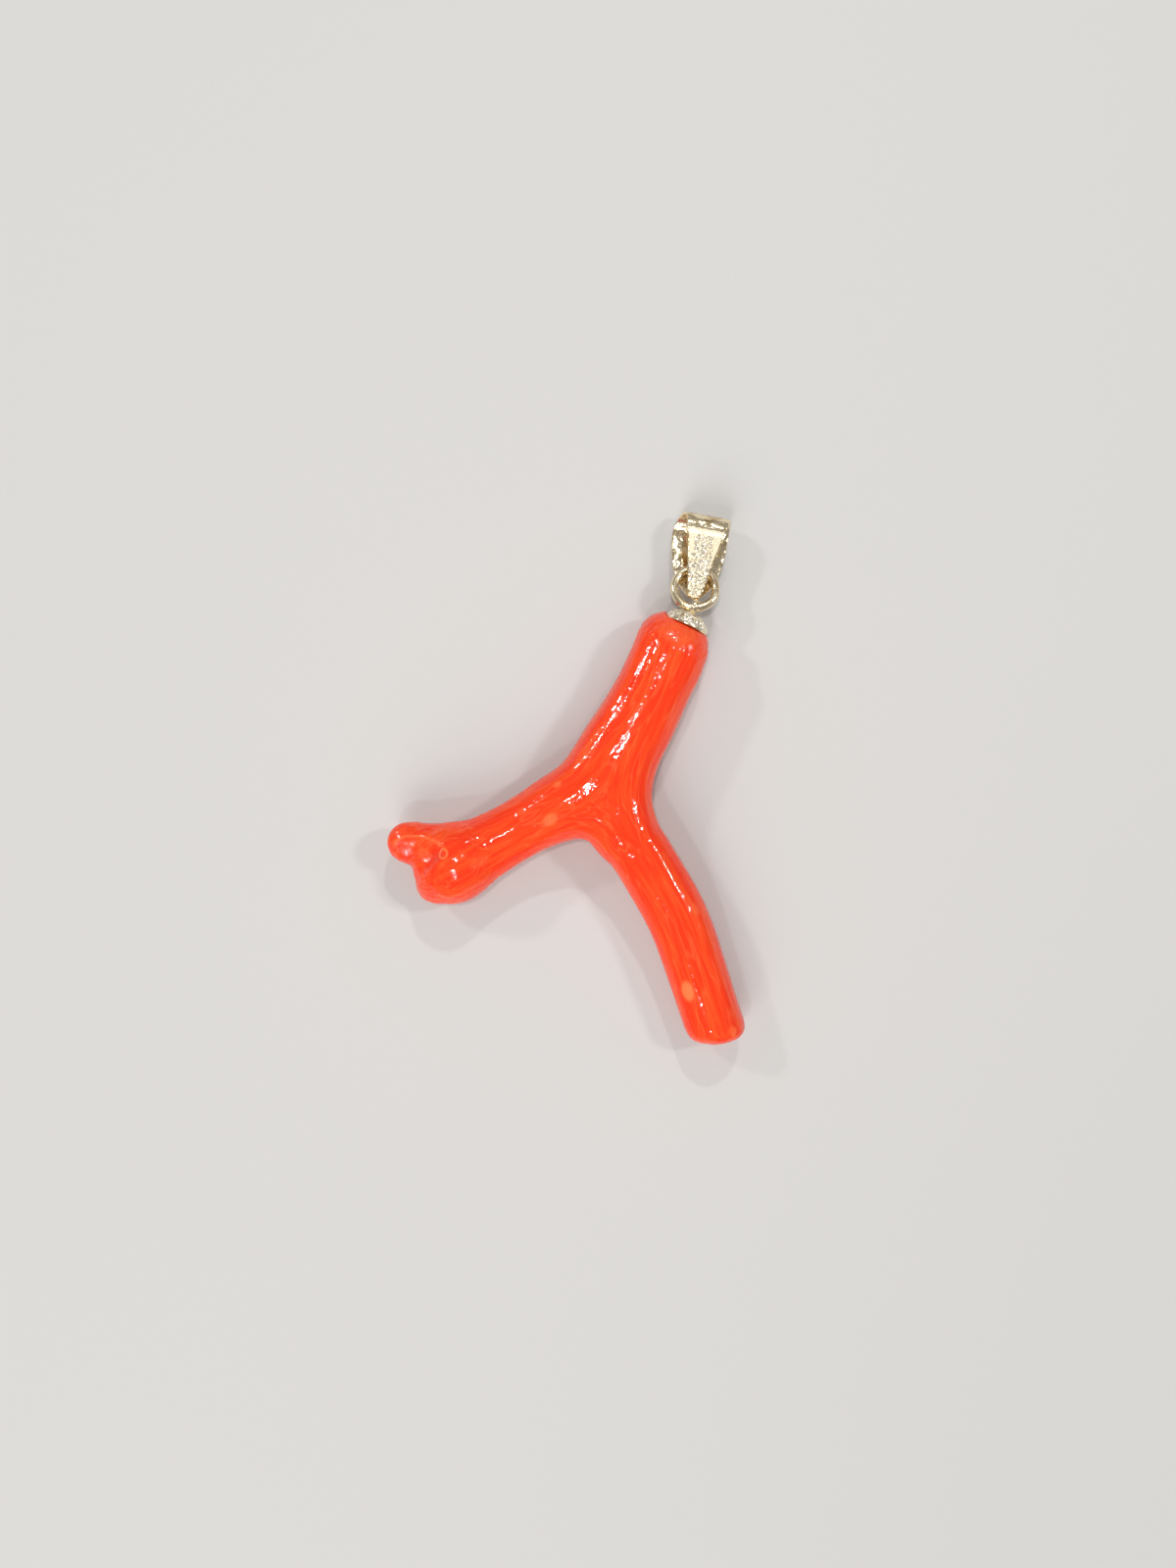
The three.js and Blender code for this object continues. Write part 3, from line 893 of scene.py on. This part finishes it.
def turned_loops(outline: np.ndarray, steps: int) -> np.ndarray:
    """An outline of [out, along] turned round the Y axis.

    Args:
        outline: the outline's points, one a row.
        steps: how many copies go round.

    Returns:
        The copies, as [loop, point, xyz].
    """
    out, along = outline.T
    turns = np.linspace(0, 2 * math.pi, steps, endpoint=False)
    return np.array([np.c_[out * math.cos(a), along, out * math.sin(a)] for a in turns])


def torus(major: float, minor: float, breadth: float, loops: int = 96, sides: int = 32) -> np.ndarray:
    """Loops of a torus round +Z.

    Args:
        major: the radius to the middle of its wire.
        minor: half the wire's thickness across.
        breadth: half the wire's height.
        loops: how many loops go round.
        sides: how many points each loop has.

    Returns:
        The loops, as [loop, point, xyz].
    """
    turns = np.linspace(0, 2 * math.pi, sides, endpoint=False)
    outline = np.c_[major + minor * np.cos(turns), breadth * np.sin(turns)]
    return turned_loops(outline, loops)[..., [0, 2, 1]]


def shell(
    name: str, sections: np.ndarray, place: Matrix, material: bpy.types.Material
) -> bpy.types.Object:
    """A piece over a row of loops that closes on itself both ways.

    Args:
        name: the piece's name.
        sections: the loops, as [loop, point, xyz].
        place: the piece's own place in the part's frame.
        material: its finish.

    Returns:
        The piece.
    """
    faces = quads(len(sections), len(sections[0]), closed=True, tube=True)
    piece = solid_piece(name, moved(sections.reshape(-1, 3), place), faces, material)
    outwards(piece)
    return piece


@dataclass
class Fittings:
    """The bell cap with its eye, and the jump ring."""

    cap_rim: Point3 = CAP_RIM
    cap_lean: float = CAP_LEAN
    cap_radius: float = 2.28
    cap_height: float = 1.55
    cap_wall: float = 0.3
    pole: float = 0.001
    cuts_around: int = 48
    cuts_rows: tuple[int, int] = (2, 16)
    eye_height: float = 2.15
    eye_hole_radius: float = 0.6
    eye_wire: float = 0.38
    eye_breadth: float = 0.7
    ring_radius: float = 2.12
    wire_radius: float = 0.42
    ring_lean: float = 4.9
    ring_drop: float = 12.5

    def cap_place(self) -> Matrix:
        """The place of the cap, whose axis lies along the local +Y."""
        return Matrix.Translation(self.cap_rim) @ Matrix.Rotation(-radians(self.cap_lean), 4, "Z")

    def ring_place(self) -> Matrix:
        """The ring's own frame: its origin is in the eye, and +Y runs to the ring's centre."""
        eye = np.array(self.cap_rim) + leaning(self.cap_lean) * self.eye_height
        lean = Matrix.Rotation(-radians(self.ring_lean), 4, "Z")
        drop = Matrix.Rotation(-radians(self.ring_drop), 4, "X")
        return Matrix.Translation(eye) @ (lean @ drop)

    def dome(self, radius: float, height: float, steps: int) -> list[Point2]:
        """Half of a dome's outline, from its rim to its top on the axis."""
        points = []
        for i in range(steps + 1):
            angle = i / steps * math.pi / 2
            points.append((radius * max(math.cos(angle), 0) ** 0.8, height * math.sin(angle)))
        return points

    def cap(self, finish: bpy.types.Material) -> bpy.types.Object:
        """The bell cap, a thin domed cup."""
        inside = self.cap_height - self.cap_wall
        outer = self.dome(self.cap_radius, self.cap_height, 20)
        inner = self.dome(self.cap_radius - self.cap_wall, inside, 16)
        top = [(self.pole, self.cap_height), (self.pole, inside)]
        outline = np.array([*outer[:-1], *top, *inner[-2::-1]])
        return shell("bell_cap_dome", turned_loops(outline, 72), self.cap_place(), finish)

    def eye(self, finish: bpy.types.Material) -> bpy.types.Object:
        """The eye that stands on the cap's top."""
        middle = self.eye_hole_radius + self.eye_wire / 2
        loops = torus(middle, self.eye_wire / 2, self.eye_breadth / 2, 64, 20)
        turned = np.stack((loops[..., 2], loops[..., 1] + self.eye_height, -loops[..., 0]), -1)
        return shell("bell_cap_eye", turned, self.cap_place(), finish)

    def ring(self, finish: bpy.types.Material) -> bpy.types.Object:
        """The jump ring."""
        loops = torus(self.ring_radius, self.wire_radius, self.wire_radius)
        loops += np.array([0, self.ring_radius, 0])
        return shell("jump_ring_wire", loops, self.ring_place(), finish)

    def cap_cuts(self, finish: bpy.types.Material) -> bpy.types.Object:
        """The diamond cuts on the cap's dome."""
        first, last = self.cuts_rows
        outline = np.array(self.dome(self.cap_radius, self.cap_height, 20)[first:last])
        bed = moved(turned_loops(outline, self.cuts_around).reshape(-1, 3), self.cap_place())
        faces = quads(self.cuts_around, len(outline), closed=True)
        return DiamondCuts("cap_diamond_cuts", height=0.12).build(bed, faces, finish)

    def build(self, finish: GoldFinish, cut: GoldFinish) -> list[bpy.types.Object]:
        """Builds the cap, its eye and the ring.

        Args:
            finish: the bright gold.
            cut: the finish of the diamond cuts.

        Returns:
            The pieces.
        """
        gold = finish.material()
        cap, eye, ring = self.cap(gold), self.eye(gold), self.ring(gold)
        cuts = self.cap_cuts(cut.material())
        for piece, body, node in (
            (cap, Body.BRANCH, "bell_cap"),
            (eye, Body.BRANCH, "bell_cap"),
            (cuts, Body.BRANCH, None),
            (ring, Body.RING, "jump_ring"),
        ):
            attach(piece, body.value)
            if node:
                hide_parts(node)
        return [cap, eye, cuts, ring]


@dataclass
class DiamondCuts:
    """Small bright facets scattered close together over a bed, made by Geometry Nodes."""

    name: str
    width: float = 0.36
    height: float = 0.16
    spacing: float = 0.2
    per_square_mm: float = 50
    seed: int = 7
    most_tilt: float = 0.35
    most_twist: float = 3.1
    scales: Point2 = (0.45, 0.6)
    INPUTS = ("Cut Width", "Cut Height", "Spacing", "Density", "Seed", "Finish")

    def tree(self) -> bpy.types.NodeTree:
        """The node tree that sets the cuts out on a mesh."""
        made = bpy.data.node_groups.new("diamond_cuts", "GeometryNodeTree")
        made.interface.new_socket("Bed", in_out="INPUT", socket_type="NodeSocketGeometry")
        kinds = ("Float", "Float", "Float", "Float", "Int", "Material")
        for name, kind in zip(self.INPUTS, kinds):
            made.interface.new_socket(name, in_out="INPUT", socket_type=f"NodeSocket{kind}")
        made.interface.new_socket("Cuts", in_out="OUTPUT", socket_type="NodeSocketGeometry")
        tree = Tree(made)
        given = tree.add("NodeGroupInput").outputs
        spots = tree.add(
            "GeometryNodeDistributePointsOnFaces",
            {"distribute_method": "POISSON"},
            Mesh=given["Bed"],
            Seed=given["Seed"],
        )
        tree.put(spots, "Distance Min", given["Spacing"])
        tree.put(spots, "Density Max", given["Density"])
        cone = tree.add("GeometryNodeMeshCone", {"fill_type": "NGON"}, Vertices=4)
        tree.put(cone, "Radius Top", 0.0)
        tree.put(cone, "Radius Bottom", given["Cut Width"])
        tree.put(cone, "Depth", given["Cut Height"])
        twist = tree.add("FunctionNodeRandomValue", {"data_type": "FLOAT_VECTOR"}, Seed=given["Seed"])
        twist.inputs[0].default_value = (-self.most_tilt, -self.most_tilt, 0.0)
        twist.inputs[1].default_value = (self.most_tilt, self.most_tilt, self.most_twist)
        turned = tree.add("FunctionNodeRotateRotation", {"rotation_space": "LOCAL"})
        tree.put(turned, 0, spots.outputs["Rotation"])
        tree.put(turned, 1, tree.add("FunctionNodeEulerToRotation", Euler=twist.outputs[0]).outputs[0])
        placed = tree.add("GeometryNodeInstanceOnPoints", Points=spots.outputs["Points"])
        tree.put(placed, "Instance", cone.outputs["Mesh"])
        tree.put(placed, "Rotation", turned.outputs[0])
        size = tree.add("FunctionNodeRandomValue", {"data_type": "FLOAT"}, Seed=given["Seed"])
        size.inputs[2].default_value, size.inputs[3].default_value = self.scales
        tree.put(placed, "Scale", size.outputs[1])
        real = tree.add("GeometryNodeRealizeInstances", Geometry=placed.outputs[0])
        flat = tree.add("GeometryNodeSetShadeSmooth", Geometry=real.outputs[0])
        flat.inputs["Shade Smooth"].default_value = False
        dressed = tree.add("GeometryNodeSetMaterial", Geometry=flat.outputs[0], Material=given["Finish"])
        tree.add("NodeGroupOutput", Cuts=dressed.outputs[0])
        return made

    def build(
        self, vertices: np.ndarray, faces: list[tuple[int, ...]], finish: bpy.types.Material
    ) -> bpy.types.Object:
        """Cuts a bed.

        Args:
            vertices: the bed's places in millimetres.
            faces: the bed's faces.
            finish: the facets' finish.

        Returns:
            The facets, as one plain mesh.
        """
        bed = solid_piece("cut_bed", vertices, faces, finish)
        modifier = bed.modifiers.new("cuts", "NODES")
        modifier.node_group = self.tree()
        sizes = (self.width * MM, self.height * MM, self.spacing * MM)
        values = (*sizes, self.per_square_mm / MM**2, self.seed, finish)
        for item in modifier.node_group.interface.items_tree:
            if item.in_out == "INPUT" and item.name in self.INPUTS:
                modifier[item.identifier] = values[self.INPUTS.index(item.name)]
        bpy.context.view_layer.update()
        seen = bed.evaluated_get(bpy.context.evaluated_depsgraph_get())
        mesh = bpy.data.meshes.new_from_object(seen)
        bpy.data.objects.remove(bed)
        mesh.name = self.name
        piece = bpy.data.objects.new(self.name, mesh)
        bpy.context.scene.collection.objects.link(piece)
        return piece


@dataclass
class FoldedBail:
    """The bail: one strip from its tip along the front leaf, round the fold and along the back."""

    lean: float = 10.9
    sheet: float = 0.35
    fold_radius: float = 1.78
    wire_to_fold_centre: float = 3.95
    wire_to_tip: float = 3.1
    tip_height: float = 3.45
    tip_width: float = 0.9
    tip_share: float = 0.22
    waist_width: float = 1.6
    front_width: float = 4.1
    fold_width: float = 4.6
    back_width: float = 5.85
    back_shift: float = -0.35
    back_climb_from: float = -0.75
    fold_end: float = 257
    edge_rounding: float = 0.09
    front_steps: int = 48
    panel_face: int = 5
    frame_width: float = 0.16
    frame_slope: float = 0.05
    panel_depth: float = 0.05
    panel_top: float = 0.93
    panel_top_slope: float = 0.03
    cut_span: Point2 = (0.04, 0.9)
    cut_half_width: float = 0.85
    cut_spread: float = 0.35
    cut_rows: int = 25
    cut_columns: int = 5

    def onto_wire(self, fittings: Fittings) -> Matrix:
        """The bail's own place: its origin is on the table under the ring's far wire."""
        turn = radians(self.lean - fittings.ring_lean)
        spot = Vector((math.sin(turn), 1 + math.cos(turn), 0)) * fittings.ring_radius
        spot = fittings.ring_place() @ spot
        return Matrix.Translation((spot.x, spot.y, 0)) @ Matrix.Rotation(-radians(self.lean), 4, "Z")

    def side(self, stretch: int, t: float) -> tuple[np.ndarray, np.ndarray]:
        """A point on the strip's side view and the way ahead there.

        Args:
            stretch: 0 for the front leaf, 1 for the fold, 2 for the back leaf.
            t: how far along that stretch, from 0 to 1.

        Returns:
            The point as [out from the wire, height], and the unit way ahead.
        """
        bend = self.fold_radius - self.sheet / 2
        tip = np.array([-self.wire_to_tip, self.tip_height])
        centre = np.array([self.wire_to_fold_centre, self.fold_radius])
        to_tip = tip - centre
        top = math.atan2(to_tip[1], to_tip[0]) - math.acos(bend / np.linalg.norm(to_tip))
        bottom = radians(self.fold_end) - 2 * math.pi

        def on_bend(angle: float) -> np.ndarray:
            """The point of the fold at an angle."""
            return centre + bend * np.array([math.cos(angle), math.sin(angle)])

        if stretch == 0:
            ahead = on_bend(top) - tip
            point = tip + t * ahead
        elif stretch == 1:
            angle = top + (bottom - top) * t
            point = on_bend(angle)
            ahead = np.array([math.sin(angle), -math.cos(angle)])
        else:
            underside = on_bend(bottom)
            reach = underside[0] - self.back_climb_from
            hollow = np.array([self.back_climb_from, underside[1] + reach / math.tan(bottom)])
            point = (1 - t) ** 2 * underside + 2 * t * (1 - t) * hollow + t * t * tip
            ahead = (1 - t) * (hollow - underside) + t * (tip - hollow)
        return point, ahead / np.linalg.norm(ahead)

    def width(self, stretch: int, t: float) -> tuple[float, float]:
        """Half the strip's width and its shift sideways at a place along it."""
        if stretch == 0:
            straight = self.waist_width + (self.front_width - self.waist_width) * t**1.3
            round_off = math.sqrt(max(0, 1 - (1 - min(1, t / self.tip_share)) ** 2))
            return (self.tip_width + (straight - self.tip_width) * round_off) / 2, 0.0
        if stretch == 1:
            spread = float(smoothstep(t, 0.2, 1))
            width = self.front_width + (self.fold_width - self.front_width) * min(1, 2 * t)
            return (width + (self.back_width - width) * spread) / 2, self.back_shift * spread
        taper = max(math.cos(t * math.pi / 2), 0) ** 0.75
        width = self.tip_width + (self.back_width - self.tip_width) * taper
        return width / 2, self.back_shift * (1 - t)

    def section(self, stretch: int, t: float) -> list[Point3]:
        """The strip's cross-section with rounded edges, as [across, out from the wire, height]."""
        point, ahead = self.side(stretch, t)
        half, shift = self.width(stretch, t)
        thick = self.sheet / 2
        r = self.edge_rounding
        loop = []
        for corner_x, corner_z, first in ((1, 1, 0), (-1, 1, 90), (-1, -1, 180), (1, -1, 270)):
            for step in (0, 30, 60, 90):
                angle = radians(first + step)
                across = corner_x * (half - r) + r * math.cos(angle)
                loop.append((across, corner_z * (thick - r) + r * math.sin(angle)))
            if first == 0:
                depth = self.panel_sunk(stretch, t)
                outer = half - self.frame_width
                inner = outer - self.frame_slope
                loop += [(outer, thick), (inner, thick - depth), (-inner, thick - depth), (-outer, thick)]
        return [(shift + x, point[0] - ahead[1] * out, point[1] + ahead[0] * out) for x, out in loop]

    def panel_sunk(self, stretch: int, t: float) -> float:
        """How deep the front leaf's face lies under its frame at a place along the strip."""
        if stretch > 0:
            return 0.0
        end = self.panel_top + self.panel_top_slope
        return self.panel_depth * float(smoothstep(t, end, self.panel_top))

    def strip(
        self, place: Matrix, finish: bpy.types.Material, satin: bpy.types.Material
    ) -> bpy.types.Object:
        """The strip, closed at its tip, bright all over but for the face of its front leaf.

        Args:
            place: the bail's own place.
            finish: the bright gold.
            satin: the finish of the front leaf's face.

        Returns:
            The piece.
        """
        sections = []
        for stretch, steps in ((0, self.front_steps), (1, 40), (2, 48)):
            first = 0 if stretch == 0 else 1
            sections += [self.section(stretch, i / steps) for i in range(first, steps + 1)]
        loops, sides = len(sections), len(sections[0])
        faces = quads(loops, sides, closed=False, tube=True)
        faces += [tuple(reversed(range(sides))), tuple(range((loops - 1) * sides, loops * sides))]
        vertices = moved(np.array(sections).reshape(-1, 3), place)
        piece = solid_piece("bail_strip", vertices, faces, finish)
        piece.data.materials.append(satin)
        for band in range(self.front_steps):
            piece.data.polygons[band * sides + self.panel_face].material_index = 1
        outwards(piece)
        piece.data.set_sharp_from_angle(angle=radians(20))
        return piece

    def cut_bed(self, place: Matrix) -> tuple[np.ndarray, list[tuple[int, ...]]]:
        """The part of the front leaf's face that is diamond cut.

        Args:
            place: the bail's own place.

        Returns:
            The vertices and faces of the bed, in the part's frame.
        """
        spots = []
        lift = self.sheet / 2 - self.panel_depth
        for t in np.linspace(*self.cut_span, self.cut_rows):
            point, ahead = self.side(0, t)
            leaf = self.width(0, t)[0]
            half = min(leaf - self.frame_width, self.cut_half_width + self.cut_spread * (1 - t))
            for across in np.linspace(-half, half, self.cut_columns):
                spots.append((across, point[0] - ahead[1] * lift, point[1] + ahead[0] * lift))
        return moved(np.array(spots), place), quads(self.cut_rows, self.cut_columns, closed=False)

    def build(
        self, fittings: Fittings, finish: GoldFinish, satin: GoldFinish, cut: GoldFinish
    ) -> list[bpy.types.Object]:
        """Builds the bail.

        Args:
            fittings: the ring that it hangs on.
            finish: the bright gold.
            satin: the finish of the front leaf's face.
            cut: the finish of the diamond cuts.

        Returns:
            The pieces.
        """
        place = self.onto_wire(fittings)
        strip = self.strip(place, finish.material(), satin.material())
        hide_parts("bail")
        cuts = DiamondCuts("bail_diamond_cuts").build(*self.cut_bed(place), cut.material())
        for piece in (strip, cuts):
            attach(piece, Body.BAIL.value)
        return [strip, cuts]


@dataclass(frozen=True)
class Softbox:
    """A rectangular lamp that faces the part: its place and size, and its power in watts."""

    name: str
    place: Point3
    size: Point2
    power: float
    mirrored: bool = True
    aim: Point3 = (0, 0, 3)

    def build(self) -> None:
        """Builds the lamp, which bright surfaces mirror unless it says otherwise."""
        data = bpy.data.lights.new(self.name, "AREA")
        data.shape = "RECTANGLE"
        data.size, data.size_y = self.size[0] * MM, self.size[1] * MM
        data.energy = self.power
        lamp = bpy.data.objects.new(self.name, data)
        lamp.location = Vector(self.place) * MM
        lamp.rotation_euler = (Vector(self.aim) - Vector(self.place)).to_track_quat("-Z", "Y").to_euler()
        lamp.visible_glossy = self.mirrored
        bpy.context.scene.collection.objects.link(lamp)


@dataclass
class Studio:
    """The camera, the floor and the lights: a soft room with small softboxes for the highlights."""

    camera_place: Point3 = (2.15, -0.55, 123)
    lens: float = 27
    long_side: float = 36
    floor_colour: Colour = (0.6, 0.59, 0.575, 1)
    floor_side: float = 1200
    room_colour: Colour = (1, 0.97, 0.94, 1)
    room_light: float = 0.27
    softboxes: tuple[Softbox, ...] = (
        Softbox("key", (-330, 230, 270), (44, 28), 0.38),
        Softbox("side", (330, 90, 330), (36, 50), 0.45),
        Softbox("top", (-30, 40, 420), (45, 30), 0.4),
        Softbox("back", (60, 330, 300), (22, 16), 0.4),
        Softbox("low", (-110, -250, 400), (24, 18), 0.2),
        Softbox("fill", (-150, -420, 300), (400, 300), 1.6, mirrored=False),
    )

    def camera(self) -> None:
        """A camera straight above, with the photograph's view."""
        data = bpy.data.cameras.new("photo_camera")
        data.lens = self.lens
        data.sensor_fit = "VERTICAL"
        data.sensor_height = self.long_side
        data.clip_start = 0.005
        camera = bpy.data.objects.new("photo_camera", data)
        camera.location = Vector(self.camera_place) * MM
        bpy.context.scene.collection.objects.link(camera)
        bpy.context.scene.camera = camera

    def floor(self) -> None:
        """A plain pale floor."""
        square = np.array([(-1, -1, 0), (1, -1, 0), (1, 1, 0), (-1, 1, 0)])
        corners = square * self.floor_side / 2
        material = bpy.data.materials.new("pale_floor")
        material.use_nodes = True
        shader = material.node_tree.nodes["Principled BSDF"]
        shader.inputs["Base Color"].default_value = self.floor_colour
        shader.inputs["Roughness"].default_value = 0.7
        floor = solid_piece("floor", corners, [(0, 1, 2, 3)], material)

    def room(self) -> None:
        """The soft light from all round, and plain colours in the picture."""
        bpy.context.scene.view_settings.view_transform = "Standard"
        world = bpy.data.worlds.new("studio")
        bpy.context.scene.world = world
        world.use_nodes = True
        back = world.node_tree.nodes["Background"]
        back.inputs["Color"].default_value = self.room_colour
        back.inputs["Strength"].default_value = self.room_light

    def build(self) -> None:
        """Sets up the whole studio."""
        self.camera()
        self.floor()
        self.room()
        for softbox in self.softboxes:
            softbox.build()


def main() -> None:
    """Builds the scene and reports its pieces."""
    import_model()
    Studio().build()
    fittings = Fittings()
    gold = GoldFinish()
    # The sheet gold's deep brown second tone, over most of the sheet, is painted dark, mottled
    # reflection.
    sheet_gold = GoldFinish(
        "sheet_gold", worn_and_dark_reflection=(0.6, 0.42, 0.2, 1), waves_per_mm=0.8, wave_height=0.4, worn_and_dark_reflection_share=0.8
    )
    satin = GoldFinish("satin_gold", (0.95, 0.84, 0.62, 1), (0.9, 0.76, 0.52, 1), 0.42)
    cut = GoldFinish("cut_gold", (1, 0.93, 0.78, 1), (0.98, 0.86, 0.62, 1), 0.36)
    pieces = [CoralBranch().build(CoralFinish())]
    pieces += fittings.build(gold, cut)
    pieces += FoldedBail().build(fittings, sheet_gold, satin, cut)
    for piece in pieces:
        log.info("%s: %d faces", piece.name, len(piece.data.polygons))


if __name__ == "__main__":
    main()
